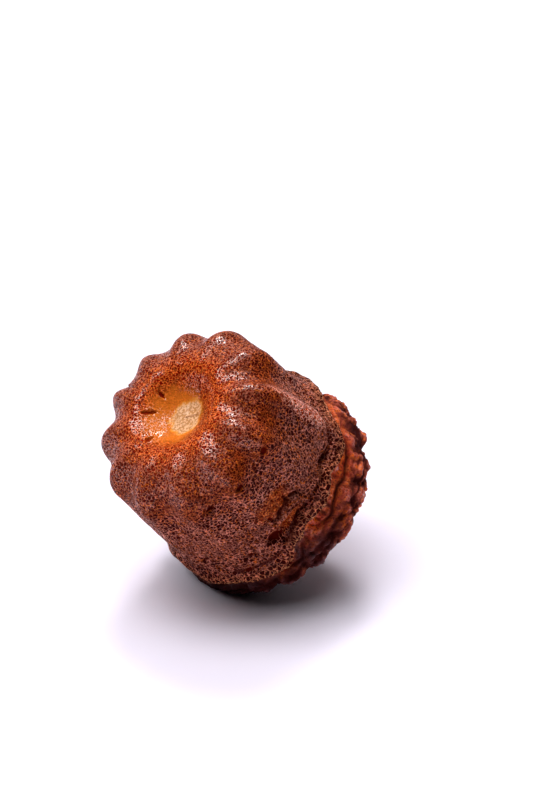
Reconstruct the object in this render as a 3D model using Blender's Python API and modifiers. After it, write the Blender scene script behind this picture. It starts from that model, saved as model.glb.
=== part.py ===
# A canele: a small fluted cake, browned all over, lying tilted on the puffed head that rose out of its mould.
# Sizes are in millimetres in the cake's own frame and become metres at the end. There, an angle goes round
# the cake's axis, and a height runs along it, from 0 at the mould's mouth to BODY_LENGTH at the small end.

import math

import bpy
import numpy as np
from mathutils import Matrix, Vector, noise

NODE_NAME = "canele"
MM = 0.001

# The moulded body
BODY_LENGTH = 47.0
SMALL_RADIUS = 24.1
MOUTH_RADIUS = 26.8
SHOULDER_ROUND = 9.7

# The dimple in the small end
DIMPLE_RADIUS = 12.5
DIMPLE_FLOOR_RADIUS = 2.6
DIMPLE_DEPTH = 4.8

# The flutes: rounded ridges that start as knobs round the dimple and fade towards the mouth
FLUTES = 12
FIRST_FLUTE_ANGLE = 10.5
FLUTE_DEPTH = 2.1
FLUTE_DEPTH_AT_LIP = 0.5
FLUTE_SHARPNESS = 1.25
FLUTE_START_RADIUS = 9.5
FLUTE_FULL_RADIUS = 21.5
FLUTE_END_HEIGHT = 21.0
FLUTE_FADE_SHARE = 0.6
FLUTE_UNEVENNESS = 0.18
SHALLOW_FLUTE_ANGLE = 85.5
SHALLOW_FLUTE_WIDTH = 19.0
SHALLOW_FLUTE_SHARE = 0.55

# The lip, where the smooth moulded crust ends in a torn edge above a sunken neck
LIP_HEIGHT = 15.0
LIP_REACH_UP = 17.0
LIP_FLARE = 0.55
LIP_FLARE_WIDTH = 1.9
LIP_HOLLOW = 0.45
LIP_HOLLOW_HEIGHT = 4.4
LIP_HOLLOW_WIDTH = 1.2
NECK_DEPTH = 2.0
NECK_WIDTH = 4.4

# The height of the torn lip, as pairs of an angle and a height
LIP_STATIONS = (
    (-150, 11.5),
    (-128, 9.6),
    (-105, 11.0),
    (-80, 9.2),
    (-56, 9.8),
    (-33, 8.6),
    (-27, 10.6),
    (-21, 15.0),
    (-16, 14.8),
    (-10, 16.6),
    (3, 15.2),
    (11, 16.4),
    (18, 18.4),
    (27, 15.5),
    (37, 15.8),
    (46, 20.2),
    (60, 21.0),
    (78, 18.2),
    (96, 14.2),
    (118, 15.6),
    (140, 12.6),
    (165, 14.0),
    (188, 11.4),
)

# The puffed head below the neck, and the dome that it ends in
HEAD_ROUND = 4.4
HEAD_ROUND_SWEEP = 50.0
DOME_HEIGHT = 8.6
LUMP_START = 8.6
LUMP_BLEND = 3.4
HEAD_LUMP_SIZE = 6.4
HEAD_LUMP_HEIGHT = 2.0
HEAD_CRAG_SIZE = 3.4
HEAD_CRAG_HEIGHT = 1.5
LUMP_TOP = 0.16
DOME_CALM_RADIUS = 7.0
REST_CALM_CENTRE = (0.0, -21.5, -2.0)
REST_CALM_RADIUS = 5.0
REST_CALM_BLEND = 9.0

# Hollows torn or sunk in the crust: angle, height, length round the body, length along the axis, depth.
# A depth below zero is a swelling.
HOLLOWS = (
    (82.0, 25.0, 26.0, 22.0, 1.5),
    (-92.0, 24.0, 20.0, 16.0, -0.6),
    (-95.0, 8.5, 42.0, 12.0, -1.2),
    (40.5, 28.0, 7.5, 26.0, -1.0),
    (-13.0, 27.6, 9.0, 6.0, 0.7),
    (-18.0, 20.2, 8.0, 3.4, 1.1),
    (-25.5, 18.9, 7.0, 4.2, 1.2),
    (-43.0, 17.1, 5.5, 3.6, 1.2),
    (-70.0, 18.2, 4.2, 3.4, 1.0),
    (118.0, 21.5, 8.0, 4.6, 1.1),
    (-158.0, 18.0, 6.4, 4.0, 1.2),
)

# A gentle unevenness of the whole cake
WARP_SIZE = 17.0
WARP_HEIGHT = 0.3

# How it lies: its axis tips away from upright, towards a compass angle, and it flattens where it rests
TILT = 42.6
TILT_AZIMUTH = 220.8
MOUTH_CENTRE_HEIGHT = 16.32
REST_SPOT_REACH = 14.0
REST_SPOT_RADIUS = 8.0
REST_SPOT_BLEND = 5.0
REST_SPOT_HEIGHT = 3.0
REST_SPOT_RISE = 2.5

# How finely it is divided
STEPS_PER_FLUTE = 8
DIMPLE_RINGS = 7
CROWN_RINGS = 2
SHOULDER_RINGS = 8
SIDE_RINGS = 13
HEAD_RINGS = 3
HEAD_ROUND_RINGS = 4
DOME_RINGS = 8

CRUST_COLOUR = (0.205, 0.062, 0.023, 1.0)
CRUST_ROUGHNESS = 0.42


def smooth_step(value):
    value = np.clip(value, 0.0, 1.0)
    return value * value * (3.0 - 2.0 * value)


def hump(distance, width):
    return np.exp(-((distance / width) ** 2))


def body_radius(height):
    """The radius over the ridges, which grows evenly from the shoulder to the mouth."""
    share = (BODY_LENGTH - SHOULDER_ROUND - height) / (BODY_LENGTH - SHOULDER_ROUND)
    return SMALL_RADIUS + (MOUTH_RADIUS - SMALL_RADIUS) * share


def dimple_height(radius):
    wall = (radius - DIMPLE_FLOOR_RADIUS) / (DIMPLE_RADIUS - DIMPLE_FLOOR_RADIUS)
    return BODY_LENGTH - DIMPLE_DEPTH * (1.0 - smooth_step(wall))


def crown_and_side():
    """Profile points (radius, height) from the middle of the dimple down to the lip."""
    points = [(radius, dimple_height(radius)) for radius in np.linspace(0.0, DIMPLE_RADIUS, DIMPLE_RINGS + 1)]
    arc_radius = SMALL_RADIUS - SHOULDER_ROUND
    arc_height = BODY_LENGTH - SHOULDER_ROUND
    for radius in np.linspace(DIMPLE_RADIUS, arc_radius, CROWN_RINGS)[1:]:
        points.append((radius, BODY_LENGTH))
    for turn in np.linspace(0.0, math.pi / 2, SHOULDER_RINGS + 1)[1:]:
        points.append((arc_radius + SHOULDER_ROUND * math.sin(turn), arc_height + SHOULDER_ROUND * math.cos(turn)))
    for height in np.linspace(arc_height, LIP_HEIGHT, SIDE_RINGS + 1)[1:]:
        points.append((body_radius(height), height))
    return points


def neck_and_head():
    """Profile points from under the lip, round the puffed head, to the middle of its dome."""
    lip_radius = body_radius(LIP_HEIGHT)
    neck_radius = lip_radius - NECK_DEPTH
    points = [
        (lip_radius - 0.5 * NECK_DEPTH, LIP_HEIGHT - 0.7),
        (neck_radius, LIP_HEIGHT - 1.6),
        (neck_radius, LIP_HEIGHT - NECK_WIDTH),
    ]
    arc_radius = MOUTH_RADIUS - HEAD_ROUND
    for share in np.linspace(0.0, 1.0, HEAD_RINGS + 1)[1:]:
        bulge = math.sin(share * math.pi / 2)
        height = LIP_HEIGHT - NECK_WIDTH + share * (HEAD_ROUND - LIP_HEIGHT + NECK_WIDTH)
        points.append((neck_radius + bulge * (MOUTH_RADIUS - neck_radius), height))
    sweep = math.radians(HEAD_ROUND_SWEEP)
    for turn in np.linspace(0.0, sweep, HEAD_ROUND_RINGS + 1)[1:]:
        points.append((arc_radius + HEAD_ROUND * math.cos(turn), HEAD_ROUND - HEAD_ROUND * math.sin(turn)))
    edge_radius, edge_height = points[-1]
    rise = edge_height + DOME_HEIGHT
    fullness = edge_radius / (math.tan(sweep) * rise)
    for share in np.linspace(1.0, 0.0, DOME_RINGS + 1)[1:]:
        points.append((share * edge_radius, rise * share**fullness - DOME_HEIGHT))
    return points


def turned_body():
    """The profile turned round the axis by a Screw modifier, as a mesh in millimetres."""
    points = crown_and_side() + neck_and_head()
    profile = bpy.data.meshes.new("profile")
    edges = [(i, i + 1) for i in range(len(points) - 1)]
    profile.from_pydata([(radius * MM, 0.0, height * MM) for radius, height in points], edges, [])
    turned = bpy.data.objects.new("turned", profile)
    bpy.context.scene.collection.objects.link(turned)
    screw = turned.modifiers.new("turn", "SCREW")
    screw.axis = "Z"
    screw.angle = 2 * math.pi
    screw.steps = screw.render_steps = FLUTES * STEPS_PER_FLUTE
    screw.use_merge_vertices = True
    screw.merge_threshold = 0.0001
    mesh = bpy.data.meshes.new_from_object(turned.evaluated_get(bpy.context.evaluated_depsgraph_get()))
    bpy.data.objects.remove(turned)
    bpy.data.meshes.remove(profile)
    mesh.transform(Matrix.Scale(1.0 / MM, 4))
    return mesh


def read_points(mesh):
    points = np.empty(len(mesh.vertices) * 3)
    mesh.vertices.foreach_get("co", points)
    return points.reshape(-1, 3)


def read_normals(mesh):
    normals = np.empty(len(mesh.vertices) * 3)
    mesh.vertices.foreach_get("normal", normals)
    return normals.reshape(-1, 3)


def lip_height(angle):
    stations = np.array(LIP_STATIONS, float)
    return np.interp(angle, stations[:, 0], stations[:, 1], period=360.0)


def lumps(points, size):
    """Rounded lumps that stand a little proud, with deeper creases between them."""
    nearest = np.array([noise.voronoi(Vector(point) / size)[0][0] for point in points])
    return LUMP_TOP - nearest**2


def waves(points, size):
    return np.array([noise.noise(Vector(point) / size) for point in points])


def sculpt(mesh):
    """Moves the turned body's vertices into the torn lip, flutes, hollows and puffed head."""
    points = read_points(mesh)
    normals = read_normals(mesh)
    angle = np.degrees(np.arctan2(points[:, 1], points[:, 0]))
    radius = np.hypot(points[:, 0], points[:, 1])
    height = points[:, 2].copy()
    above_lip = height - LIP_HEIGHT

    # The lip wanders up and down, and carries the crust above and the head below with it.
    carried = np.where(
        above_lip > 0.0,
        1.0 - smooth_step(above_lip / LIP_REACH_UP),
        np.clip((height - 0.5 * HEAD_ROUND) / (LIP_HEIGHT - 0.5 * HEAD_ROUND), 0.0, 1.0),
    )
    points[:, 2] += carried * (lip_height(angle) - LIP_HEIGHT)

    # Flutes: the ridges keep the full radius, and the valleys sink along the normal.
    turn = np.radians(angle - FIRST_FLUTE_ANGLE)
    ridge = (0.5 + 0.5 * np.cos(FLUTES * turn)) ** FLUTE_SHARPNESS
    uneven = 1.0 + FLUTE_UNEVENNESS * np.sin(2.6 * turn + 0.8) * np.cos(1.0 * turn)
    from_shallow = (angle - SHALLOW_FLUTE_ANGLE + 180.0) % 360.0 - 180.0
    uneven -= SHALLOW_FLUTE_SHARE * hump(from_shallow, SHALLOW_FLUTE_WIDTH)
    fade_start = BODY_LENGTH - FLUTE_FADE_SHARE * SHOULDER_ROUND
    down_side = smooth_step((fade_start - height) / (fade_start - FLUTE_END_HEIGHT))
    depth = FLUTE_DEPTH + (FLUTE_DEPTH_AT_LIP - FLUTE_DEPTH) * down_side
    start = smooth_step((radius - FLUTE_START_RADIUS) / (FLUTE_FULL_RADIUS - FLUTE_START_RADIUS))
    end = smooth_step((height - 0.3 * LIP_HEIGHT) / (0.7 * LIP_HEIGHT))
    outward = -(1.0 - ridge) * depth * uneven * start * end

    # The crust flares at the lip, with a shallow hollow above the flare.
    on_crust = above_lip > -0.1
    outward += on_crust * LIP_FLARE * hump(above_lip, LIP_FLARE_WIDTH)
    outward -= on_crust * LIP_HOLLOW * hump(above_lip - LIP_HOLLOW_HEIGHT, LIP_HOLLOW_WIDTH)

    for hollow_angle, hollow_height, across, along, hollow_depth in HOLLOWS:
        aside = np.radians((angle - hollow_angle + 180.0) % 360.0 - 180.0) * body_radius(hollow_height)
        outward -= hollow_depth * hump(np.hypot(aside / across, (points[:, 2] - hollow_height) / along), 0.5)

    # Lumps and crags cover the head, and thin out over the neck, the dome's middle and the rest spot.
    on_head = 1.0 - smooth_step((above_lip + LUMP_START) / LUMP_BLEND)
    on_head *= np.where(height < 0.0, smooth_step(radius / DOME_CALM_RADIUS), 1.0)
    from_rest = np.linalg.norm(points - REST_CALM_CENTRE, axis=1)
    on_head *= smooth_step((from_rest - REST_CALM_RADIUS) / REST_CALM_BLEND)
    outward += on_head * HEAD_LUMP_HEIGHT * lumps(points, HEAD_LUMP_SIZE)
    outward += on_head * HEAD_CRAG_HEIGHT * lumps(points + 40.0, HEAD_CRAG_SIZE)
    outward += WARP_HEIGHT * waves(points, WARP_SIZE)

    points += outward[:, None] * normals
    return points


def lie_down(points):
    """Tips the cake over onto its head and flattens the spot that it rests on."""
    tilt = math.radians(TILT)
    azimuth = math.radians(TILT_AZIMUTH)
    axis = Vector((math.sin(tilt) * math.cos(azimuth), math.sin(tilt) * math.sin(azimuth), math.cos(tilt)))
    across = Vector((0.0, 0.0, 1.0)).cross(axis).normalized()
    upward = axis.cross(across)
    turned = np.array((across, upward, axis))
    points = points @ turned
    points[:, 2] += MOUTH_CENTRE_HEIGHT

    # The rest spot lies under the centre of mass, on the side that the cake leans to.
    leaning = np.array((math.cos(azimuth), math.sin(azimuth)))
    from_spot = np.linalg.norm(points[:, :2] - REST_SPOT_REACH * leaning, axis=1)
    near = 1.0 - smooth_step((from_spot - REST_SPOT_RADIUS) / REST_SPOT_BLEND)
    low = 1.0 - smooth_step((points[:, 2] - REST_SPOT_HEIGHT) / REST_SPOT_RISE)
    points[:, 2] = np.maximum(points[:, 2] * (1.0 - near * low), 0.0)
    points[:, :2] -= REST_SPOT_REACH * leaning
    return points


def crust_material():
    material = bpy.data.materials.new("browned_crust")
    material.use_nodes = True
    shader = material.node_tree.nodes["Principled BSDF"]
    shader.inputs["Base Color"].default_value = CRUST_COLOUR
    shader.inputs["Roughness"].default_value = CRUST_ROUGHNESS
    shader.inputs["Metallic"].default_value = 0.0
    return material


def make_canele(collection):
    mesh = turned_body()
    points = lie_down(sculpt(mesh)) * MM
    mesh.vertices.foreach_set("co", points.ravel())
    mesh.update()
    mesh.shade_smooth()
    mesh.materials.append(crust_material())
    mesh.name = NODE_NAME
    collection.objects.link(bpy.data.objects.new(NODE_NAME, mesh))


def main():
    for thing in list(bpy.data.objects):
        bpy.data.objects.remove(thing)
    collection = bpy.data.collections.new("canele_parts")
    bpy.context.scene.collection.children.link(collection)
    make_canele(collection)


main()
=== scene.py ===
import math

import bmesh
import bpy
import numpy as np
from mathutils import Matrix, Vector, noise


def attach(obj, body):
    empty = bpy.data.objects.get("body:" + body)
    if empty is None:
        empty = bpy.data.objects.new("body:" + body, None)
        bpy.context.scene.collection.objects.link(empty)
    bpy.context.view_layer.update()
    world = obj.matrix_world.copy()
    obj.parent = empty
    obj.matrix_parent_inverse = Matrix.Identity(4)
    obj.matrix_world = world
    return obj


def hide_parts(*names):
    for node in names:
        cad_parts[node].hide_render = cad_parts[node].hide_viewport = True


# A canele that lies on its puffed head: a browned fluted crust, and below its torn lip the craggy head.
# Lengths are in millimetres in the cake's own frame, with heights along its axis from the mould's mouth.

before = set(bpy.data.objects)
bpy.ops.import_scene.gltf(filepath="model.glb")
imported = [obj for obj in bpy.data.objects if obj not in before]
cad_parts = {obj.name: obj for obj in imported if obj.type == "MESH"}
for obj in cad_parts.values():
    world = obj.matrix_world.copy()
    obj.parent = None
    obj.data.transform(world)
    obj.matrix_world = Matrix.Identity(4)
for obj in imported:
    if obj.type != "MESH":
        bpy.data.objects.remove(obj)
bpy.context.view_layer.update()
print("frame loaded with", sorted(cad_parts))

mm = 0.001

# Sizes that the crust and the head share
cake = {
    "length": 47.0,
    "smallRadius": 24.1,
    "mouthRadius": 26.8,
    "shoulderRound": 9.7,
    "dimpleRadius": 12.5,
    "dimpleFloorRadius": 2.6,
    "dimpleDepth": 4.8,
    "flutes": 12,
    "firstFluteAngle": 10.5,
    "fluteDepth": 2.1,
    "fluteDepthAtLip": 0.5,
    "fluteSharpness": 1.25,
    "fluteStartRadius": 9.5,
    "fluteFullRadius": 21.5,
    "fluteUnevenness": 0.18,
    "fluteEndHeight": 21.0,
    "shallowFluteAngle": 85.5,
    "shallowFluteWidth": 19.0,
    "shallowFluteShare": 0.55,
    "lipHeight": 15.0,
    "lipReachUp": 17.0,
    # how high the torn lip runs: pairs of an angle round the cake and a height
    "lipStations": (
        (-150, 11.5), (-128, 9.6), (-105, 11.0), (-80, 9.2), (-56, 9.8), (-33, 8.6), (-27, 10.6), (-21, 15.0),
        (-16, 14.8), (-10, 16.6), (3, 15.2), (11, 16.4), (18, 18.4), (27, 15.5), (37, 15.8), (46, 20.2),
        (60, 21.0), (78, 18.2), (96, 14.2), (118, 15.6), (140, 12.6), (165, 14.0), (188, 11.4),
    ),
    "neckDepth": 2.5,
    "neckWidth": 4.4,
    "lumpStart": 8.6,
    "lumpBlend": 3.4,
    "headRound": 4.4,
    # broad hollows and swellings: angle, height, length round, length along, depth
    "hollows": (
        (82.0, 25.0, 26.0, 22.0, 1.5), (-92.0, 24.0, 20.0, 16.0, -0.6), (-95.0, 8.5, 42.0, 12.0, -1.2),
        (40.5, 28.0, 7.5, 26.0, -1.0), (-13.0, 27.6, 9.0, 6.0, 0.7), (-18.0, 20.2, 8.0, 3.4, 1.1),
        (118.0, 21.5, 8.0, 4.6, 1.1), (-158.0, 18.0, 6.4, 4.0, 1.2),
    ),
    "warpSize": 17.0,
    "warpHeight": 0.3,
    # how it lies
    "tilt": 42.6,
    "tiltAzimuth": 220.8,
    "mouthCentreHeight": 16.32,
    "restSpotReach": 14.0,
    "restSpotRadius": 8.0,
    "restSpotBlend": 5.0,
    "restSpotHeight": 3.0,
    "restSpotRise": 2.5,
}


def smoothStep(value):
    value = np.clip(value, 0.0, 1.0)
    return value * value * (3.0 - 2.0 * value)


def hump(distance, width):
    # 1 at no distance, falling off smoothly over the width
    return np.exp(-((distance / width) ** 2))


def turnFrom(middle, angle):
    # how far an angle is from the middle one, in degrees, the short way round
    return (angle - middle + 180.0) % 360.0 - 180.0


def bodyRadius(height):
    side = cake["length"] - cake["shoulderRound"]
    return cake["smallRadius"] + (cake["mouthRadius"] - cake["smallRadius"]) * (side - height) / side


def lipHeightAt(angle):
    stations = np.array(cake["lipStations"], float)
    return np.interp(angle, stations[:, 0], stations[:, 1], period=360.0)


def waves(points, size, shift=0.0):
    # soft noise, about -1 to 1, with bumps of the given size
    # the shift moves a pattern, here and in cells and domes, so that no two patterns are alike
    return np.array([noise.noise(place) for place in (points / size + shift).tolist()])


def cells(points, size, shift=0.0):
    # distance to the nearest cell centre, in cells, and a number of each cell's own from 0 to 1
    found = []
    for place in (points / size + shift).tolist():
        distances, centres = noise.voronoi(place)
        found.append((distances[0], noise.cell(centres[0] * 29.3)))  # spread out, so that neighbours differ
    nearest, tone = np.array(found).T
    return nearest, 0.5 + 0.5 * tone


def domes(points, size, shift=0.0, top=0.16):
    # rounded lumps of the given size, a little proud in their middles, with deeper creases between them
    return top - cells(points, size, shift)[0] ** 2


def turnProfile(name, profile, steps):
    # spins profile points (radius, height, skin) into a wedge one flute wide, and the wedge round the axis
    # skin is 1 on the outside and 0 where hidden
    bm = bmesh.new()
    skin = bm.verts.layers.float.new("skin")
    corners = []
    for radius, height, share in profile:
        corner = bm.verts.new((radius, 0.0, height))
        corner[skin] = share
        corners.append(corner)
    for upper, lower in zip(corners, corners[1:]):
        bm.edges.new((upper, lower))
    outline = bm.verts[:] + bm.edges[:]
    wedges = cake["flutes"]
    around = {"axis": (0, 0, 1), "cent": (0, 0, 0)}
    bmesh.ops.spin(bm, geom=outline, angle=2 * math.pi / wedges, steps=steps // wedges, **around)
    bmesh.ops.remove_doubles(bm, verts=bm.verts, dist=0.0002)
    wedge = bm.verts[:] + bm.edges[:] + bm.faces[:]
    bmesh.ops.spin(
        bm, geom=wedge, angle=2 * math.pi, steps=wedges, use_merge=True, use_duplicate=True, **around
    )
    bmesh.ops.remove_doubles(bm, verts=bm.verts, dist=0.0002)
    bmesh.ops.recalc_face_normals(bm, faces=bm.faces)
    mesh = bpy.data.meshes.new(name)
    bm.to_mesh(mesh)
    bm.free()
    return mesh


def readMesh(mesh):
    # vertex places, normals and the skin share of a turned mesh
    count = len(mesh.vertices)
    points = np.empty(count * 3)
    normals = np.empty(count * 3)
    skin = np.empty(count)
    mesh.vertices.foreach_get("co", points)
    mesh.vertices.foreach_get("normal", normals)
    mesh.attributes["skin"].data.foreach_get("value", skin)
    return points.reshape(-1, 3), normals.reshape(-1, 3), skin


def writeMark(mesh, name, values):
    # a number for each vertex, which the materials read by name
    written = mesh.attributes.new(name, "FLOAT", "POINT")
    written.data.foreach_set("value", np.asarray(values, np.float32))


def fluteSink(angle, radius, height):
    # how far the valleys between the ridges sink
    turn = np.radians(angle - cake["firstFluteAngle"])
    ridge = (0.5 + 0.5 * np.cos(cake["flutes"] * turn)) ** cake["fluteSharpness"]
    uneven = 1.0 + cake["fluteUnevenness"] * np.sin(2.6 * turn + 0.8) * np.cos(turn)
    fromShallow = turnFrom(cake["shallowFluteAngle"], angle)
    uneven -= cake["shallowFluteShare"] * hump(fromShallow, cake["shallowFluteWidth"])
    shoulder = cake["length"] - 0.6 * cake["shoulderRound"]
    downSide = smoothStep((shoulder - height) / (shoulder - cake["fluteEndHeight"]))
    depth = cake["fluteDepth"] + (cake["fluteDepthAtLip"] - cake["fluteDepth"]) * downSide
    reach = cake["fluteFullRadius"] - cake["fluteStartRadius"]
    start = smoothStep((radius - cake["fluteStartRadius"]) / reach)
    end = smoothStep((height - 0.3 * cake["lipHeight"]) / (0.7 * cake["lipHeight"]))
    return (1.0 - ridge) * depth * uneven * start * end


def hollowSink(angle, height):
    # how far the broad hollows sink, or less than nothing where it swells
    sink = np.zeros(len(angle))
    for hollowAngle, hollowHeight, across, along, depth in cake["hollows"]:
        aside = np.radians(turnFrom(hollowAngle, angle)) * bodyRadius(hollowHeight)
        sink += depth * hump(np.hypot(aside / across, (height - hollowHeight) / along), 0.5)
    return sink


def lieDown(points):
    # tips the cake onto its head, flattens the spot it rests on and turns millimetres into metres
    tilt = math.radians(cake["tilt"])
    azimuth = math.radians(cake["tiltAzimuth"])
    axis = Vector((math.sin(tilt) * math.cos(azimuth), math.sin(tilt) * math.sin(azimuth), math.cos(tilt)))
    across = Vector((0.0, 0.0, 1.0)).cross(axis).normalized()
    points = points @ np.array((across, axis.cross(across), axis))
    points[:, 2] += cake["mouthCentreHeight"]
    spot = cake["restSpotReach"] * np.array((math.cos(azimuth), math.sin(azimuth)))
    fromSpot = np.linalg.norm(points[:, :2] - spot, axis=1)
    near = 1.0 - smoothStep((fromSpot - cake["restSpotRadius"]) / cake["restSpotBlend"])
    low = 1.0 - smoothStep((points[:, 2] - cake["restSpotHeight"]) / cake["restSpotRise"])
    points[:, 2] = np.maximum(points[:, 2] * (1.0 - near * low), 0.0)
    points[:, :2] -= spot
    return points * mm


def finishPiece(mesh, points, material):
    # the shaped piece, lying as it rests, in place of the plain cake
    mesh.vertices.foreach_set("co", lieDown(points).ravel())
    mesh.update()
    mesh.shade_smooth()
    mesh.materials.append(material)
    piece = bpy.data.objects.new(mesh.name, mesh)
    bpy.context.scene.collection.objects.link(piece)
    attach(piece, "root")
    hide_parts("canele")
    print(mesh.name, "has", sum(len(face.vertices) - 2 for face in mesh.polygons), "triangles")


def newNode(tree, kind, values, **settings):
    # a node with its settings, and its inputs set to numbers or linked to sockets
    made = tree.nodes.new("ShaderNode" + kind)
    for setting, value in settings.items():
        setattr(made, setting, value)
    for name, value in values.items():
        socket = made.inputs[name]
        if isinstance(value, bpy.types.NodeSocket):
            tree.links.new(value, socket)
        else:
            socket.default_value = value
    return made


def sums(tree, operation, first, second=0.0):
    # one step of arithmetic on numbers or sockets
    return newNode(tree, "Math", {0: first, 1: second}, operation=operation).outputs[0]


def times(tree, first, second):
    return sums(tree, "MULTIPLY", first, second)


def swing(tree, value, reach):
    # a noise value from 0 to 1 made to swing about zero
    return times(tree, sums(tree, "SUBTRACT", value, 0.5), reach)


def speckles(tree, place, scale, detail):
    return newNode(tree, "TexNoise", {"Vector": place, "Scale": scale, "Detail": detail}).outputs["Fac"]


def fade(tree, value, start, end, low=0.0, high=1.0):
    # low until start, high from end, and smooth between them
    names = ("Value", "From Min", "From Max", "To Min", "To Max")
    made = newNode(tree, "MapRange", dict(zip(names, (value, start, end, low, high))))
    made.interpolation_type = "SMOOTHSTEP"
    return made.outputs["Result"]


def blendNumbers(tree, share, first, second):
    made = newNode(tree, "Mix", {0: share, 2: first, 3: second}, data_type="FLOAT")
    return made.outputs[0]


def blendColours(tree, share, first, second, way="MIX"):
    values = {0: share, 6: first, 7: second}
    made = newNode(tree, "Mix", values, data_type="RGBA", blend_type=way)
    return made.outputs[2]


def mark(tree, name):
    # a mark that was written on the mesh
    return newNode(tree, "Attribute", {}, attribute_name=name).outputs["Fac"]


def colour(red, green, blue):
    return (red, green, blue, 1.0)


def newSkin(name, finish):
    # a material, its node tree and shader, and the place on the piece in millimetres
    material = bpy.data.materials.new(name)
    material.use_nodes = True
    tree = material.node_tree
    shader = tree.nodes["Principled BSDF"]
    shader.inputs["Specular IOR Level"].default_value = finish["specular"]
    shader.inputs["Coat Roughness"].default_value = finish["coatRoughness"]
    shader.inputs["Coat IOR"].default_value = finish["coatIndex"]
    place = newNode(tree, "TexCoord", {}).outputs["Object"]
    place = newNode(tree, "VectorMath", {0: place, "Scale": 1.0 / mm}, operation="SCALE").outputs[0]
    return material, tree, shader, place


def raiseBumps(tree, shader, rise):
    # relief from heights in millimetres
    bump = newNode(tree, "Bump", {"Strength": 1.0, "Distance": mm, "Height": rise})
    tree.links.new(bump.outputs["Normal"], shader.inputs["Normal"])


def newGroup(name, inputs, outputs):
    # an empty node group with float, colour or vector sockets, its input node and its output node
    group = bpy.data.node_groups.new(name, "ShaderNodeTree")
    for socketName, kind, value in inputs:
        socket = group.interface.new_socket(socketName, in_out="INPUT", socket_type="NodeSocket" + kind)
        if value is not None:
            socket.default_value = value
    for socketName, kind in outputs:
        group.interface.new_socket(socketName, in_out="OUTPUT", socket_type="NodeSocket" + kind)
    return group, group.nodes.new("NodeGroupInput").outputs, group.nodes.new("NodeGroupOutput")


def usePores(tree, place, size, wall, bend):
    # the pore group placed in a material, with its own pore size in millimetres
    made = tree.nodes.new("ShaderNodeGroup")
    made.node_tree = poreGroup
    tree.links.new(place, made.inputs["Place"])
    made.inputs["Pore Size"].default_value = size
    made.inputs["Wall Share"].default_value = wall
    made.inputs["Bend"].default_value = bend
    return made.outputs


# A foam of pores: raised walls round sunk cells of random width
foam = {
    "wobbleScale": 1.1,  # for each pore
    "wallWidths": (0.6, 1.5),  # of the thinnest and the thickest walls
    "wallTop": 0.35,  # the share of a wall that is flat on top
}


def makePoreGroup():
    group, given, result = newGroup(
        "poreNet",
        (
            ("Place", "Vector", None),
            ("Pore Size", "Float", 0.6),
            ("Wall Share", "Float", 0.25),
            ("Bend", "Float", 0.6),
        ),
        (("Walls", "Float"), ("Tone", "Float")),
    )
    scale = sums(group, "DIVIDE", 1.0, given["Pore Size"])
    place = newNode(group, "VectorMath", {0: given["Place"], "Scale": scale}, operation="SCALE").outputs[0]
    settings = {"Vector": place, "Scale": foam["wobbleScale"], "Detail": 1.0}
    wobble = newNode(group, "TexNoise", settings).outputs["Color"]
    wobble = newNode(group, "VectorMath", {0: wobble, 1: (0.5, 0.5, 0.5)}, operation="SUBTRACT").outputs[0]
    wobble = newNode(group, "VectorMath", {0: wobble, "Scale": given["Bend"]}, operation="SCALE").outputs[0]
    place = newNode(group, "VectorMath", {0: place, 1: wobble}, operation="ADD").outputs[0]
    edge = newNode(group, "TexVoronoi", {"Vector": place, "Scale": 1.0}, feature="DISTANCE_TO_EDGE")
    cell = newNode(group, "TexVoronoi", {"Vector": place, "Scale": 1.0}, feature="F1")
    tone = newNode(group, "SeparateColor", {"Color": cell.outputs["Color"]}).outputs["Red"]
    wall = times(group, given["Wall Share"], blendNumbers(group, tone, *foam["wallWidths"]))
    wallEdge = times(group, wall, foam["wallTop"])
    walls = fade(group, edge.outputs["Distance"], wallEdge, wall, 1.0, 0.0)
    group.links.new(walls, result.inputs["Walls"])
    group.links.new(tone, result.inputs["Tone"])
    return group


poreGroup = makePoreGroup()


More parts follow.
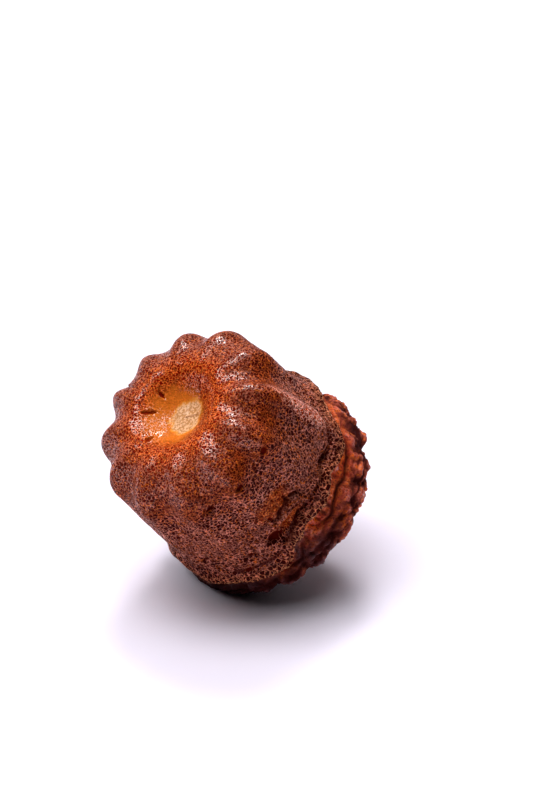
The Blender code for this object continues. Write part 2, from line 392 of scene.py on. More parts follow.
# The browned crust with its flutes, from the dimple down to the torn lip
crust = {
    "steps": 600,
    "dimpleRings": 30,
    "crownRings": 5,
    "shoulderRings": 44,
    "sideRings": 72,
    "lipRound": 0.55,
    "lipRings": 6,
    # waves along the torn lip: size and height
    "tearSizes": ((3.2, 0.8), (1.3, 0.35)),
    "tearReach": 2.2,
    "lipFlare": 1.0,
    "lipFlareWidth": 2.1,
    # ridges and creases along lines of angle and height: rise, width and the line
    "lines": (
        (-1.9, 0.75, ((-24, 15.6), (-18.7, 16.8), (-8.3, 19.4), (1.5, 19.3), (13, 19.6), (19, 21.6))),
        (-1.6, 0.7, ((19, 21.6), (28, 19.6), (37, 19.8), (46, 24.0), (60, 25.2), (80, 22.4))),
        (0.7, 0.8, ((-20, 17.6), (-9.0, 20.8), (1.5, 20.8), (13, 21.1), (19, 23.2))),
        (0.9, 0.8, ((-20.0, 21.6), (-17.6, 22.1), (-12.8, 22.8), (-8.7, 23.4), (-1.9, 23.0), (0.3, 20.7))),
        (0.35, 0.6, ((-21.0, 26.4), (-17.0, 28.6), (-11.0, 28.9), (-5.0, 27.4))),
        (-1.0, 0.5, ((-19.0, 23.0), (-12.0, 24.2), (-5.0, 24.9), (1.0, 24.0))),
        (0.5, 0.5, ((-21.0, 15.8), (-15.4, 17.1), (-10.6, 18.6))),
        (0.45, 0.5, ((-31.0, 20.6), (-26.0, 21.4), (-21.0, 21.2))),
        (-0.6, 0.5, ((-60.0, 12.6), (-48.0, 13.2), (-38.0, 12.4), (-30.0, 13.4))),
        (-0.6, 0.5, ((96.0, 18.2), (112.0, 19.4), (126.0, 19.8), (140.0, 16.4), (158.0, 17.6))),
        (-0.5, 0.5, ((-172.0, 15.6), (-156.0, 15.0), (-140.0, 14.4), (-126.0, 13.4))),
    ),
    "lineWander": 0.5,
    # patches lit orange from within, and glossier patches that also get a painted sheen: angle, height,
    # length round and along
    "warmPatches": ((-13.0, 27.0, 11.0, 6.0), (-13.0, 20.4, 10.0, 3.4)),
    "glossAndSheenPatches": ((42.0, 31.0, 5.0, 20.0),),
    # rougher below this height, where the crown's smoothness has faded
    "roughHeight": 22.0,
    "roughBlend": 20.0,
    "softSizes": ((3.4, 0.10), (1.5, 0.06), (0.8, 0.03)),
    "pitSize": 1.35,
    "pitDepth": 0.3,
    "pitReach": 0.46,
    "pitBlend": 0.34,
    "dentSize": 2.6,
    "dentDepth": 0.28,
    # torn holes in the side: angle, height, length round, length along, turn, depth
    "holes": (
        (-25.5, 18.7, 6.4, 3.0, 24.0, 1.7),
        (-43.5, 17.5, 4.4, 1.8, 14.0, 1.3),
        (-37.0, 15.3, 1.5, 1.1, 0.0, 0.8),
        (-70.0, 18.2, 3.4, 1.6, 10.0, 1.1),
        (-40.0, 37.1, 3.0, 1.5, -8.0, 0.9),
        (-18.0, 38.4, 1.9, 1.5, 0.0, 0.8),
        (6.7, 39.5, 2.6, 1.9, 30.0, 0.5),
        (-20.4, 24.6, 1.6, 2.2, 14.0, 0.6),
        (-6.5, 25.6, 1.2, 1.6, 0.0, 0.5),
        (-76.6, 13.8, 3.2, 1.3, 0.0, 0.8),
        (-50.8, 12.7, 2.8, 1.1, 0.0, 0.7),
        (118.0, 21.5, 5.0, 2.4, -12.0, 1.2),
        (-158.0, 18.0, 4.2, 2.2, 16.0, 1.2),
        (150.0, 34.0, 2.2, 1.4, 0.0, 0.7),
        (64.0, 31.0, 1.8, 1.2, 0.0, 0.6),
    ),
    "holeReach": 4.0,
    "holeRimHeight": 0.16,
    # slits in the valleys round the dimple: angle, radius, length, width, turn, depth
    "slits": (
        (168.5, 7.9, 2.8, 1.0, 0.0, 0.5),
        (205.0, 8.5, 3.0, 0.9, 24.0, 0.45),
        (254.6, 8.9, 2.8, 0.9, 0.0, 0.45),
    ),
    # middles of the pale patch and of its amber ring, seen along the axis
    "paleCentre": (0.9, 0.2),
    "amberCentre": (-1.4, -1.2),
}


def dimpleHeight(radius):
    wall = (radius - cake["dimpleFloorRadius"]) / (cake["dimpleRadius"] - cake["dimpleFloorRadius"])
    return cake["length"] - cake["dimpleDepth"] * (1.0 - smoothStep(wall))


def crustProfile():
    points = []
    for radius in np.linspace(0.0, cake["dimpleRadius"], crust["dimpleRings"] + 1):
        points.append((radius, dimpleHeight(radius), 1.0))
    arcRadius = cake["smallRadius"] - cake["shoulderRound"]
    arcHeight = cake["length"] - cake["shoulderRound"]
    for radius in np.linspace(cake["dimpleRadius"], arcRadius, crust["crownRings"] + 1)[1:]:
        points.append((radius, cake["length"], 1.0))
    for turn in np.linspace(0.0, math.pi / 2, crust["shoulderRings"] + 1)[1:]:
        away = cake["shoulderRound"] * math.sin(turn)
        points.append((arcRadius + away, arcHeight + cake["shoulderRound"] * math.cos(turn), 1.0))
    for height in np.linspace(arcHeight, cake["lipHeight"], crust["sideRings"] + 1)[1:]:
        points.append((bodyRadius(height), height, 1.0))
    lipRadius = bodyRadius(cake["lipHeight"])
    lipRound = crust["lipRound"]
    for turn in np.linspace(0.0, math.pi, crust["lipRings"] + 1)[1:]:
        inward = lipRadius - lipRound + lipRound * math.cos(turn)
        points.append((inward, cake["lipHeight"] - lipRound * math.sin(turn), 0.0))
    for share in (0.88, 0.6, 0.3, 0.0):
        points.append((share * lipRadius, cake["lipHeight"] + 1.0, 0.0))
    return points


def lineRise(angle, height, wander):
    # how far the ridges and creases raise the skin, and where the creases are, from 0 to 1
    rise = np.zeros(len(angle))
    crease = np.zeros(len(angle))
    for lineHeight, width, stations in crust["lines"]:
        middle = stations[len(stations) // 2][0]
        scale = math.radians(1.0) * bodyRadius(stations[0][1])
        aside = turnFrom(middle, angle) * scale
        closest = np.full(len(angle), 99.0)
        for (startAngle, startHeight), (endAngle, endHeight) in zip(stations, stations[1:]):
            startAside = (startAngle - middle) * scale
            along = np.array(((endAngle - startAngle) * scale, endHeight - startHeight))
            away = np.stack((aside - startAside, height - startHeight), axis=1)
            share = np.clip(away @ along / (along @ along), 0.0, 1.0)
            closest = np.minimum(closest, np.linalg.norm(away - share[:, None] * along, axis=1))
        bump = hump(np.maximum(closest + wander, 0.0), width)
        rise += lineHeight * bump
        if lineHeight < 0.0:
            crease = np.maximum(crease, bump)
    return rise, crease


def patchShare(angle, height, patches, wander):
    # 1 in the middle of the patches and 0 away from them
    share = np.zeros(len(angle))
    for patchAngle, patchHeight, across, along in patches:
        aside = np.radians(turnFrom(patchAngle, angle)) * bodyRadius(patchHeight)
        away = np.hypot(aside / across, (height - patchHeight) / along) + wander
        share = np.maximum(share, 1.0 - smoothStep((away - 0.25) / 0.4))
    return share


def tearMarks(base, holeList):
    # how deep each point lies in the torn holes, how far it is inside one, which gets painted shade, and how
    # far it is on a rim, from 0 to 1
    depthSum = np.zeros(len(base))
    tornHoleShade = np.zeros(len(base))
    rim = np.zeros(len(base))
    ragged = waves(base, 1.5, 11.0) + 0.9 * waves(base, 0.7, 23.0)
    for centre, outward, roundwards, across, along, turn, depth in holeList:
        offset = base - centre
        aside = offset @ roundwards
        upwards = offset @ np.cross(outward, roundwards)
        cosTurn = math.cos(math.radians(turn))
        sinTurn = math.sin(math.radians(turn))
        inside = np.hypot(
            (aside * cosTurn + upwards * sinTurn) / (0.5 * across),
            (upwards * cosTurn - aside * sinTurn) / (0.5 * along),
        )
        near = np.abs(offset @ outward) < crust["holeReach"]
        inside = np.where(near, inside + (0.28 + 0.25 / along) * ragged, 9.0)  # narrow ones are more ragged
        mask = 1.0 - smoothStep((inside - 0.55) / 0.65)
        depthSum = np.maximum(depthSum, depth * mask)
        # deeper holes get more painted shade
        tornHoleShade = np.maximum(tornHoleShade, mask * min(1.0, 1.6 * depth))
        rim = np.maximum(rim, hump(inside - 1.35, 0.3) * min(1.0, depth))
    return depthSum, tornHoleShade, rim


def holePlaces():
    # each hole's centre, outward direction, direction round the cake, sizes, turn and depth
    places = []
    for angle, height, across, along, turn, depth in crust["holes"]:
        radians = math.radians(angle)
        outward = np.array((math.cos(radians), math.sin(radians), 0.0))
        roundwards = np.array((-math.sin(radians), math.cos(radians), 0.0))
        radius = bodyRadius(min(height, cake["length"] - cake["shoulderRound"]))
        centre = outward * radius + np.array((0.0, 0.0, height))
        places.append((centre, outward, roundwards, across, along, turn, depth))
    for angle, radius, length, width, turn, depth in crust["slits"]:
        radians = math.radians(angle)
        outwards = np.array((math.cos(radians), math.sin(radians), 0.0))
        centre = outwards * radius + np.array((0.0, 0.0, dimpleHeight(radius)))
        places.append((centre, np.array((0.0, 0.0, 1.0)), outwards, length, width, turn, depth))
    return places


def shapeCrust(mesh):
    base, normals, skin = readMesh(mesh)
    points = base.copy()
    angle = np.degrees(np.arctan2(base[:, 1], base[:, 0]))
    radius = np.hypot(base[:, 0], base[:, 1])
    tucked = skin < 0.5
    shown = skin > 0.5
    lipRadius = bodyRadius(cake["lipHeight"])
    inShare = np.clip(radius / lipRadius, 0.0, 1.0) ** 2

    # what is tucked under the lip moves as the lip does
    height = np.where(tucked, cake["lipHeight"], base[:, 2])
    radial = np.stack((base[:, 0], base[:, 1], 0.0 * radius), axis=1) / lipRadius
    normals = np.where(tucked[:, None], radial * inShare[:, None], normals)
    aboveLip = height - cake["lipHeight"]
    carried = np.where(tucked, inShare, 1.0 - smoothStep(aboveLip / cake["lipReachUp"]))
    turn = np.radians(angle)
    ring = lipRadius * np.stack((np.cos(turn), np.sin(turn), 0.0 * turn), axis=1)
    tear = sum(rise * waves(ring, size, 5.0) for size, rise in crust["tearSizes"])
    points[:, 2] += carried * (lipHeightAt(angle) - cake["lipHeight"])
    points[:, 2] += np.where(tucked, inShare, np.exp(-aboveLip / crust["tearReach"])) * tear
    above = points[:, 2] - lipHeightAt(angle)

    outward = -fluteSink(angle, radius, height) - hollowSink(angle, points[:, 2])
    outward += crust["lipFlare"] * hump(aboveLip, crust["lipFlareWidth"])
    wander = crust["lineWander"] * (waves(base, 2.1, 31.0) + 0.5 * waves(base, 0.9, 47.0))
    rise, foldShade = lineRise(angle, points[:, 2], wander)
    foldShade *= shown
    outward += rise * shown
    outward += cake["warpHeight"] * waves(base, cake["warpSize"])

    # softer on the crown, rougher towards the lip
    rough = 1.0 - smoothStep((height - crust["roughHeight"]) / crust["roughBlend"])
    for size, rise in crust["softSizes"]:
        outward += rise * (0.35 + rough) * waves(base, size, 3.0)
    nearest, tone = cells(base, crust["pitSize"], 7.0)
    pit = smoothStep((crust["pitReach"] - nearest) / crust["pitBlend"])
    pit *= smoothStep((tone - 0.35) / 0.3) * (0.12 + 0.88 * rough)  # in some cells, and few on the crown
    outward -= crust["pitDepth"] * pit * shown
    outward += crust["dentDepth"] * rough * domes(base, crust["dentSize"], 19.0)
    depth, tornHoleShade, rim = tearMarks(np.column_stack((base[:, :2], points[:, 2])), holePlaces())
    outward += (crust["holeRimHeight"] * rim - depth) * shown

    points += outward[:, None] * normals
    patchWander = 0.16 * (waves(base, 2.6, 61.0) + 0.7 * waves(base, 1.1, 67.0))
    writeMark(mesh, "up", points[:, 2])
    writeMark(mesh, "warm", patchShare(angle, points[:, 2], crust["warmPatches"], patchWander))
    writeMark(mesh, "glossAndSheen", patchShare(angle, points[:, 2], crust["glossAndSheenPatches"], patchWander))
    for name, centre in (("fromPale", crust["paleCentre"]), ("fromAmber", crust["amberCentre"])):
        writeMark(mesh, name, np.hypot(base[:, 0] - centre[0], base[:, 1] - centre[1]))
    writeMark(mesh, "aboveLip", np.where(tucked, 0.0, above))
    writeMark(mesh, "pit", pit)
    writeMark(mesh, "tornHoleShade", tornHoleShade)
    writeMark(mesh, "foldShade", foldShade)
    return points


crustFinish = {
    "crownWall": colour(0.72, 0.130, 0.020),
    "crownPore": colour(0.22, 0.008, 0.0004),
    # the ring of knobs: greyer than the crown, partly its own duller brown and partly a painted grey sheen
    "outerWall": colour(0.43, 0.122, 0.072),
    "outerPore": colour(0.145, 0.012, 0.004),
    "shoulderWall": colour(0.45, 0.070, 0.014),
    "shoulderPore": colour(0.046, 0.0012, 0.0002),
    "sideWall": colour(0.62, 0.195, 0.130),
    "sidePore": colour(0.045, 0.0016, 0.0005),
    "warmWall": colour(0.62, 0.125, 0.020),
    "warmPore": colour(0.20, 0.016, 0.0015),
    # painted shade in the creases along the lines
    "foldShade": colour(0.07, 0.004, 0.0010),
    "sheen": colour(1.0, 0.44, 0.31),
    "sheenPore": colour(0.55, 0.060, 0.010),
    "char": colour(0.50, 0.36, 0.38),
    "cream": colour(0.84, 0.50, 0.28),
    "creamSpeck": colour(0.55, 0.25, 0.09),
    "gold": colour(0.90, 0.36, 0.035),
    "amber": colour(0.80, 0.20, 0.016),
    # inside torn holes and slits: their own dark red, darkened further as painted shade
    "tornHoleShade": colour(0.09, 0.003, 0.0006),
    "slit": colour(0.24, 0.012, 0.002),
    "glow": colour(0.62, 0.120, 0.012),
    # the lip band's own paler colour with a painted highlight, and a painted highlight on the lip's rolled
    # edge
    "lipBandWithHighlight": colour(0.66, 0.195, 0.095),
    "lipEdgeHighlight": colour(0.62, 0.22, 0.09),
    # pore sizes from the crown to the lip, their wall shares and how deep they are
    "poreSizes": (0.70, 0.86, 1.0),
    "wallShares": (0.155, 0.135, 0.13),
    "poreDepths": (0.08, 0.15, 0.24),
    "poreBend": 1.1,
    "bumpHeight": 0.18,
    "grainRange": (0.42, 1.45),
    # noise scales for each millimetre
    "broadScale": 0.13,
    "patchyScale": 0.45,
    "speckleScale": 1.9,
    "grainScale": 2.6,
    "glintScale": 3.1,
    # heights between which one look gives way to the next, and how far patches shift them
    "finePoresFrom": (37.0, 43.0),
    "coarsePoresFrom": (28.0, 19.0),
    "shoulderFrom": (46.0, 41.0),
    "sideFrom": (39.0, 32.0),
    "shoulderGlazeFrom": (43.0, 40.0),
    "heightSwing": 9.0,
    # distances from the pale middle, from the amber ring's middle and from the lip
    "outerFrom": (10.5, 17.5),
    "creamReach": (4.7, 3.4),
    "goldReach": (5.0, 4.1),
    "strongAmberReach": (7.2, 5.2),
    "amberReach": (9.0, 6.0),
    "dimpleSwing": 3.4,
    "lipBandWithHighlightReach": (2.8, 1.4),
    "lipEdgeHighlightReach": (0.7, 0.2),
    "specular": 0.01,
    "roughness": (0.6, 0.3),
    "coatRoughness": 0.22,
    "coatIndex": 1.8,
    "crownGlaze": 1.0,
    "shoulderGlaze": 0.5,
    "sideGlaze": 0.2,
}


def makeCrustMaterial():
    finish = crustFinish
    material, tree, shader, place = newSkin("brownedCrust", finish)
    fromPale = mark(tree, "fromPale")
    glossAndSheen = mark(tree, "glossAndSheen")
    warm = mark(tree, "warm")
    tornHoleShade = mark(tree, "tornHoleShade")
    broad = speckles(tree, place, finish["broadScale"], 2.0)
    patchy = speckles(tree, place, finish["patchyScale"], 3.0)
    speckle = speckles(tree, place, finish["speckleScale"], 2.0)
    glintSpeckle = speckles(tree, place, finish["glintScale"], 1.0)
    upward = sums(tree, "ADD", mark(tree, "up"), swing(tree, patchy, finish["heightSwing"]))

    nets = []
    for size, share in zip(finish["poreSizes"], finish["wallShares"]):
        nets.append(usePores(tree, place, size, share, finish["poreBend"]))
    toFine = fade(tree, upward, *finish["finePoresFrom"])
    toCoarse = fade(tree, upward, *finish["coarsePoresFrom"])

    def byHeight(fine, middle, coarse):
        return blendNumbers(tree, toCoarse, blendNumbers(tree, toFine, middle, fine), coarse)

    walls = byHeight(*(net["Walls"] for net in nets))
    tone = byHeight(*(net["Tone"] for net in nets))

    # colours of the walls and the pores, from the crown down to the side; the pores' dark colour is partly
    # their own and partly painted shade in their hollows
    onShoulder = fade(tree, upward, *finish["shoulderFrom"])
    onSide = fade(tree, upward, *finish["sideFrom"])
    outer = fade(tree, fromPale, *finish["outerFrom"])

    def byZone(part):
        zoned = blendColours(tree, outer, finish["crown" + part], finish["outer" + part])
        zoned = blendColours(tree, onShoulder, zoned, finish["shoulder" + part])
        return blendColours(tree, onSide, zoned, finish["side" + part])

    wallColour = byZone("Wall")
    poreColour = blendColours(tree, warm, byZone("Pore"), finish["warmPore"])
    # painted sheen: the pores on the glossy ridge are lightened to orange
    poreColour = blendColours(tree, times(tree, glossAndSheen, 0.7), poreColour, finish["sheenPore"])
    poreColour = blendColours(tree, fade(tree, tone, 0.5, 1.0, 0.0, 0.1), poreColour, wallColour)
    charred = times(tree, fade(tree, speckle, 0.5, 0.7, 0.0, 0.8), fade(tree, broad, 0.35, 0.65))
    wallColour = blendColours(tree, charred, wallColour, finish["char"], "MULTIPLY")
    glowing = times(tree, fade(tree, speckle, 0.52, 0.4), fade(tree, patchy, 0.36, 0.54))
    wallColour = blendColours(tree, glowing, wallColour, finish["glow"])
    wallColour = blendColours(tree, warm, wallColour, finish["warmWall"])
    # painted sheen: the walls on the glossy ridge are lightened
    wallColour = blendColours(tree, glossAndSheen, wallColour, finish["sheen"])
    # the lip band keeps its own paler colour with a painted highlight, and the lip's rolled edge gets a
    # painted highlight
    fromLip = sums(tree, "ABSOLUTE", mark(tree, "aboveLip"))
    fromLip = sums(tree, "ADD", fromLip, swing(tree, speckle, 2.0))
    for part in ("lipBandWithHighlight", "lipEdgeHighlight"):
        near = fade(tree, fromLip, *finish[part + "Reach"])
        wallColour = blendColours(tree, near, wallColour, finish[part])
    skinColour = blendColours(tree, walls, poreColour, wallColour)
    grain = fade(tree, speckles(tree, place, finish["grainScale"], 1.0), 0.32, 0.68, *finish["grainRange"])
    grain = newNode(tree, "CombineColor", {0: grain, 1: grain, 2: grain}).outputs[0]
    skinColour = blendColours(tree, 1.0, skinColour, grain, "MULTIPLY")

    # the pale middle of the dimple in its amber ring
    uneven = swing(tree, patchy, finish["dimpleSwing"])
    edge = sums(tree, "ADD", fromPale, uneven)
    amberEdge = sums(tree, "ADD", mark(tree, "fromAmber"), uneven)
    cream = blendColours(tree, fade(tree, speckle, 0.42, 0.6), finish["creamSpeck"], finish["cream"])
    amber = blendColours(tree, 0.45, finish["amber"], skinColour)
    strong = fade(tree, amberEdge, *finish["strongAmberReach"], 0.0, 0.4)
    amber = blendColours(tree, strong, amber, finish["amber"])
    golden = fade(tree, edge, *finish["goldReach"], 0.0, 0.7)
    amber = blendColours(tree, golden, amber, finish["gold"])
    skinColour = blendColours(tree, fade(tree, amberEdge, *finish["amberReach"]), skinColour, amber)
    skinColour = blendColours(tree, fade(tree, edge, *finish["creamReach"]), skinColour, cream)

    # painted shade: pits, creases and torn holes are darkened inside
    skinColour = blendColours(tree, times(tree, mark(tree, "pit"), 0.8), skinColour, finish["sidePore"])
    # painted shade along the creases
    foldShaded = fade(tree, mark(tree, "foldShade"), 0.15, 0.9, 0.0, 0.85)
    skinColour = blendColours(tree, foldShaded, skinColour, finish["foldShade"])
    # painted shade inside the torn holes and slits, over their own dark red
    tornHoleShadeColour = blendColours(tree, onShoulder, finish["slit"], finish["tornHoleShade"])
    skinColour = blendColours(tree, fade(tree, tornHoleShade, 0.35, 0.8), skinColour, tornHoleShadeColour)
    tree.links.new(skinColour, shader.inputs["Base Color"])

    shallow = fade(tree, fromPale, 6.0, 3.5, 1.0, 0.6)  # the pale patch has flatter pores
    rise = times(tree, times(tree, walls, byHeight(*finish["poreDepths"])), shallow)
    rise = sums(tree, "ADD", rise, times(tree, speckle, finish["bumpHeight"]))
    raiseBumps(tree, shader, rise)
    tree.links.new(blendNumbers(tree, walls, *finish["roughness"]), shader.inputs["Roughness"])

    # glazed only on the tops of the walls, and unevenly
    uneven = fade(tree, glintSpeckle, 0.42, 0.58, 0.05, 1.0)
    glaze = times(tree, fade(tree, walls, 0.45, 0.95), uneven)
    glaze = times(tree, glaze, fade(tree, tornHoleShade, 0.5, 0.1))
    below = fade(tree, upward, *finish["shoulderGlazeFrom"])
    strength = blendNumbers(tree, below, finish["crownGlaze"], finish["shoulderGlaze"])
    strength = blendNumbers(tree, onSide, strength, finish["sideGlaze"])
    strength = blendNumbers(tree, glossAndSheen, strength, 1.0)
    tree.links.new(times(tree, glaze, strength), shader.inputs["Coat Weight"])
    return material


crustMesh = turnProfile("crust", crustProfile(), crust["steps"])
finishPiece(crustMesh, shapeCrust(crustMesh), makeCrustMaterial())


# The puffed head below the lip, with its sunken neck, lumps, crags and dome
head = {
    "steps": 600,
    "neckRings": 16,
    "bulgeRings": 24,
    "roundSweep": 50.0,
    "roundRings": 16,
    "domeRings": 78,
    "domeHeight": 8.6,
    "lumpSize": 6.4,
    "lumpHeight": 2.0,
    "cragSize": 3.4,
    "cragHeight": 1.5,
    "blisterSize": 2.7,
    "blisterHeight": 0.35,
    "streakSize": 1.3,
    "streakHeight": 0.35,
    # a crack that runs round under the neck
    "crackBelowLip": 5.6,
    "crackWander": 1.0,
    "crackWidth": 0.55,
    "crackDepth": 1.1,
    # flat flakes, thin along the axis
    "flakeSize": 3.4,
    "flakeThinness": 2.6,
    "flakeHeight": 1.5,
    "bitSize": 1.1,
    "bitHeight": 0.7,
    "grainSize": 0.7,
    "grainHeight": 0.2,
    "domeCalmRadius": 7.0,
    "restCalmCentre": (0.0, -21.5, -2.0),
    "restCalmRadius": 5.0,
    "restCalmBlend": 9.0,
    "palestAngle": 75.0,
}


def headProfile():
    lipRadius = bodyRadius(cake["lipHeight"])
    neckRadius = lipRadius - cake["neckDepth"]
    lipHeight = cake["lipHeight"]
    points = [(share * lipRadius, lipHeight + 3.0, 0.0) for share in (0.0, 0.3, 0.6, 0.86)]
    points += [(lipRadius - 2.6, lipHeight + 2.4, 0.0), (lipRadius - 1.9, lipHeight + 1.0, 0.0)]
    for height in np.linspace(lipHeight, lipHeight - cake["neckWidth"], head["neckRings"] + 1):
        points.append((neckRadius, height, 1.0))
    headRound = cake["headRound"]
    for share in np.linspace(0.0, 1.0, head["bulgeRings"] + 1)[1:]:
        bulge = math.sin(share * math.pi / 2)
        height = lipHeight - cake["neckWidth"] + share * (headRound - lipHeight + cake["neckWidth"])
        points.append((neckRadius + bulge * (cake["mouthRadius"] - neckRadius), height, 1.0))
    sweep = math.radians(head["roundSweep"])
    arcRadius = cake["mouthRadius"] - headRound
    for turn in np.linspace(0.0, sweep, head["roundRings"] + 1)[1:]:
        points.append((arcRadius + headRound * math.cos(turn), headRound - headRound * math.sin(turn), 1.0))
    edgeRadius, edgeHeight, skin = points[-1]
    rise = edgeHeight + head["domeHeight"]
    fullness = edgeRadius / (math.tan(sweep) * rise)
    for share in np.linspace(1.0, 0.0, head["domeRings"] + 1)[1:]:
        points.append((share * edgeRadius, rise * share**fullness - head["domeHeight"], 1.0))
    return points


def shapeHead(mesh):
    base, normals, skin = readMesh(mesh)
    points = base.copy()
    angle = np.degrees(np.arctan2(base[:, 1], base[:, 0]))
    radius = np.hypot(base[:, 0], base[:, 1])
    height = base[:, 2]
    lipRadius = bodyRadius(cake["lipHeight"])
    hidden = skin < 0.5
    inShare = np.clip(radius / lipRadius, 0.0, 1.0) ** 2
    aboveLip = height - cake["lipHeight"]
    halfRound = 0.5 * cake["headRound"]
    carried = np.clip((height - halfRound) / (cake["lipHeight"] - halfRound), 0.0, 1.0)
    carried = np.where(hidden, inShare, carried)
    points[:, 2] += carried * (lipHeightAt(angle) - cake["lipHeight"])

    outward = -fluteSink(angle, radius, height) - hollowSink(angle, points[:, 2])
    onHead = 1.0 - smoothStep((aboveLip + cake["lumpStart"]) / cake["lumpBlend"])
    onHead *= np.where(height < 0.0, smoothStep(radius / head["domeCalmRadius"]), 1.0)
    fromRest = np.linalg.norm(points - np.array(head["restCalmCentre"]), axis=1)
    onHead *= smoothStep((fromRest - head["restCalmRadius"]) / head["restCalmBlend"])
    lump = domes(points, head["lumpSize"])
    crag = domes(points + 40.0, head["cragSize"])
    outward += onHead * (head["lumpHeight"] * lump + head["cragHeight"] * crag)
    outward += cake["warpHeight"] * waves(base, cake["warpSize"])

    # on the neck soft blisters and streaks along the axis, then a crack, and flakes on the rim
    shown = skin > 0.5
    blister = domes(points + 63.0, head["blisterSize"])
    streak = waves(points * (1.0, 1.0, 0.3), head["streakSize"], 71.0)
    onNeck = (1.0 - onHead) * shown
    outward += onNeck * (head["blisterHeight"] * blister + head["streakHeight"] * streak)
    belowLip = aboveLip + head["crackBelowLip"] + head["crackWander"] * waves(points, 4.5, 83.0)
    crack = hump(belowLip, head["crackWidth"]) * smoothStep(0.8 + 1.5 * waves(points, 7.0, 89.0)) * shown
    outward -= head["crackDepth"] * crack
    flakePlace = points * (1.0, 1.0, head["flakeThinness"])
    flake = domes(flakePlace + 9.0, head["flakeSize"])
    onRim = smoothStep(-belowLip / 1.2) * (0.35 + 0.65 * onHead) * shown
    outward += head["flakeHeight"] * onRim * flake
    bit = domes(points + 9.0, head["bitSize"])
    grain = domes(points + 21.0, head["grainSize"])
    fineShare = (0.55 + 0.45 * onRim) * shown
    outward += fineShare * (head["bitHeight"] * bit + head["grainHeight"] * grain)
    points += outward[:, None] * normals

    # how far each point is down in a crease between lumps, crags, flakes or streaks, or in the crack, which
    # painted shade darkens
    crease = smoothStep((-lump - 0.02) / 0.35) * onHead
    crease = np.maximum(crease, smoothStep((-crag - 0.02) / 0.35) * onHead)
    crease = np.maximum(crease, smoothStep((-flake - 0.02) / 0.3) * onRim)
    crease = np.maximum(crease, 0.8 * smoothStep((-streak - 0.1) / 0.5) * onNeck)
    crease = np.maximum(crease, crack)
    writeMark(mesh, "crease", crease)
    writeMark(mesh, "rim", onRim)
    # painted shade: darkest on the underside, towards the surface it lies on
    writeMark(mesh, "undersideShade", 0.5 - 0.5 * np.cos(np.radians(angle - head["palestAngle"])))
    return points


headFinish = {
    "warm": colour(0.98, 0.175, 0.026),
    "deep": colour(0.64, 0.054, 0.008),
    "rim": colour(0.54, 0.095, 0.052),
    "charred": colour(0.105, 0.030, 0.032),
    "crease": colour(0.050, 0.003, 0.0016),
    # noise scales for each millimetre, and bump heights in millimetres
    "broadScale": 0.16,
    "patchyScale": 0.7,
    "fineScale": 2.4,
    "poreSize": 0.9,
    "wallShare": 0.3,
    "poreBend": 0.8,
    "poreHeight": 0.07,
    "patchyHeight": 0.3,
    "fineHeight": 0.35,
    "undersideShadeSwing": 1.6,
    "burntAndShadedFrom": (0.3, 0.8),
    "specular": 0.12,
    "roughness": (0.16, 0.5),
    "creaseRoughness": 0.9,
    "coatRoughness": 0.12,
    "coatIndex": 1.8,
}


def makeHeadMaterial():
    finish = headFinish
    material, tree, shader, place = newSkin("caramelHead", finish)
    broad = speckles(tree, place, finish["broadScale"], 3.0)
    patchy = speckles(tree, place, finish["patchyScale"], 4.0)
    fine = speckles(tree, place, finish["fineScale"], 3.0)
    pores = usePores(tree, place, finish["poreSize"], finish["wallShare"], finish["poreBend"])
    crease = mark(tree, "crease")
    undersideShade = sums(tree, "ADD", mark(tree, "undersideShade"), swing(tree, broad, finish["undersideShadeSwing"]))
    burntAndShaded = fade(tree, undersideShade, *finish["burntAndShadedFrom"])
    skinColour = blendColours(tree, fade(tree, patchy, 0.35, 0.65), finish["deep"], finish["warm"])
    onRim = times(tree, mark(tree, "rim"), fade(tree, patchy, 0.62, 0.46))
    skinColour = blendColours(tree, onRim, skinColour, finish["rim"])
    # painted shade on the underside, with noisy burnt edges, in the charred colour
    skinColour = blendColours(tree, burntAndShaded, skinColour, finish["charred"])
    specks = fade(tree, fine, 0.5, 0.34, 0.0, 0.7)
    skinColour = blendColours(tree, specks, skinColour, finish["crease"])
    # painted shade: creases and the crack darken to near black
    skinColour = blendColours(tree, crease, skinColour, finish["crease"])
    tree.links.new(skinColour, shader.inputs["Base Color"])

    rise = times(tree, pores["Walls"], finish["poreHeight"])
    rise = sums(tree, "ADD", rise, times(tree, patchy, finish["patchyHeight"]))
    rise = sums(tree, "ADD", rise, times(tree, fine, finish["fineHeight"]))
    raiseBumps(tree, shader, rise)
    # sticky and glossy, but not in the creases and less where burnt and shaded
    glaze = times(tree, fade(tree, fine, 0.5, 0.58), fade(tree, crease, 0.35, 0.0))
    glaze = times(tree, glaze, fade(tree, burntAndShaded, 0.0, 1.0, 1.0, 0.3))
    tree.links.new(glaze, shader.inputs["Coat Weight"])
    roughness = fade(tree, patchy, 0.58, 0.42, *finish["roughness"])
    roughness = blendNumbers(tree, crease, roughness, finish["creaseRoughness"])
    tree.links.new(roughness, shader.inputs["Roughness"])
    return material


headMesh = turnProfile("head", headProfile(), head["steps"])
finishPiece(headMesh, shapeHead(headMesh), makeHeadMaterial())


# The white table, the softboxes round it, and the camera
studio = {
    "floorSize": 4.0,
    "floorColour": colour(0.90, 0.85, 0.975),
    "skyInFront": 0.0,
    "skyBehind": 0.5,
    # square softboxes: direction, size in metres at the lamps' distance, and power in watts
    "lampDistance": 1.8,
    "lamps": {
        "tentLamp": ((-0.03, 0.03, 1.0), 1.5, 16.5),
        "overheadLamp": ((-0.18, 0.0, 1.0), 0.8, 10.0),
        "leftLamp": ((-0.55, -0.05, 0.83), 0.8, 13.0),
        "frontLamp": ((0.05, -0.50, 0.86), 0.65, 0.2),
        "glintLamp": ((0.0, 0.5, 0.866), 0.44, 12.5),
    },
    "cameraPlace": (0.0074979, -0.4542521, 0.285),
    "cameraPitch": 27.66,
    "lens": 100.0,
    "sensor": 36.0,
}


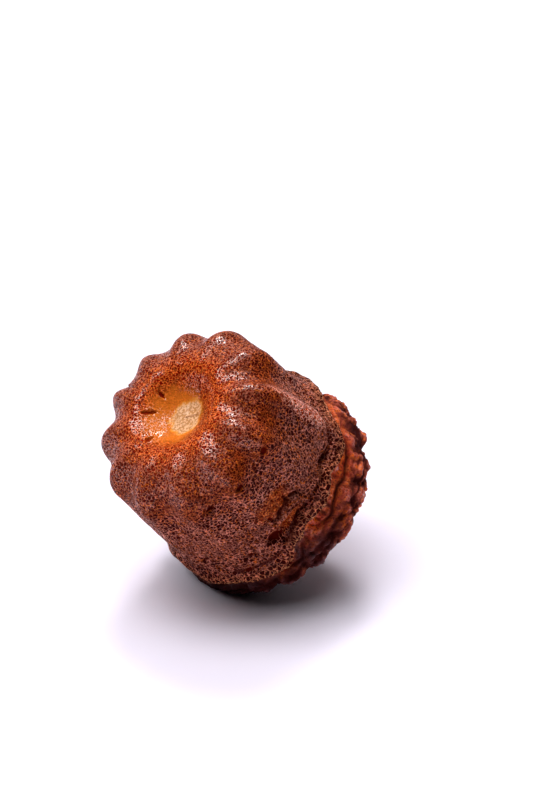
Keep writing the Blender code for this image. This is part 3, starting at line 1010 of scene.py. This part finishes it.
def makeFloor():
    bm = bmesh.new()
    bmesh.ops.create_grid(bm, x_segments=2, y_segments=2, size=studio["floorSize"])
    mesh = bpy.data.meshes.new("floor")
    bm.to_mesh(mesh)
    bm.free()
    material = bpy.data.materials.new("whiteTable")
    material.use_nodes = True
    shader = material.node_tree.nodes["Principled BSDF"]
    shader.inputs["Base Color"].default_value = studio["floorColour"]
    shader.inputs["Roughness"].default_value = 0.7
    shader.inputs["Specular IOR Level"].default_value = 0.1
    mesh.materials.append(material)
    floor = bpy.data.objects.new("floor", mesh)
    bpy.context.scene.collection.objects.link(floor)


def makeSky():
    # white to the camera, and as light a pale wall behind and a dark room in front
    world = bpy.data.worlds.new("studio")
    world.use_nodes = True
    tree = world.node_tree
    sky = tree.nodes["Background"]
    sky.inputs["Color"].default_value = colour(1.0, 1.0, 1.0)
    seen = newNode(tree, "LightPath", {}).outputs["Is Camera Ray"]
    direction = newNode(tree, "TexCoord", {}).outputs["Generated"]
    towardsBack = newNode(tree, "SeparateXYZ", {"Vector": direction}).outputs["Y"]
    light = fade(tree, towardsBack, 0.2, 0.8, studio["skyInFront"], studio["skyBehind"])
    tree.links.new(blendNumbers(tree, seen, light, 1.0), sky.inputs["Strength"])
    bpy.context.scene.world = world


def makeLamps():
    for name, (direction, size, power) in studio["lamps"].items():
        lamp = bpy.data.lights.new(name, "AREA")
        lamp.shape = "SQUARE"
        lamp.size = size
        lamp.energy = power
        holder = bpy.data.objects.new(name, lamp)
        holder.location = studio["lampDistance"] * Vector(direction).normalized()
        holder.rotation_euler = Vector(direction).to_track_quat("Z", "Y").to_euler()
        bpy.context.scene.collection.objects.link(holder)


def makeCamera():
    lensData = bpy.data.cameras.new("camera")
    lensData.lens = studio["lens"]
    lensData.sensor_width = studio["sensor"]
    lensData.clip_start = 0.01
    camera = bpy.data.objects.new("camera", lensData)
    camera.location = studio["cameraPlace"]
    camera.rotation_euler = (math.radians(90.0 - studio["cameraPitch"]), 0.0, 0.0)
    bpy.context.scene.collection.objects.link(camera)
    bpy.context.scene.camera = camera


makeFloor()
makeSky()
makeLamps()
makeCamera()
bpy.context.scene.view_settings.view_transform = "Standard"
print("studio made")
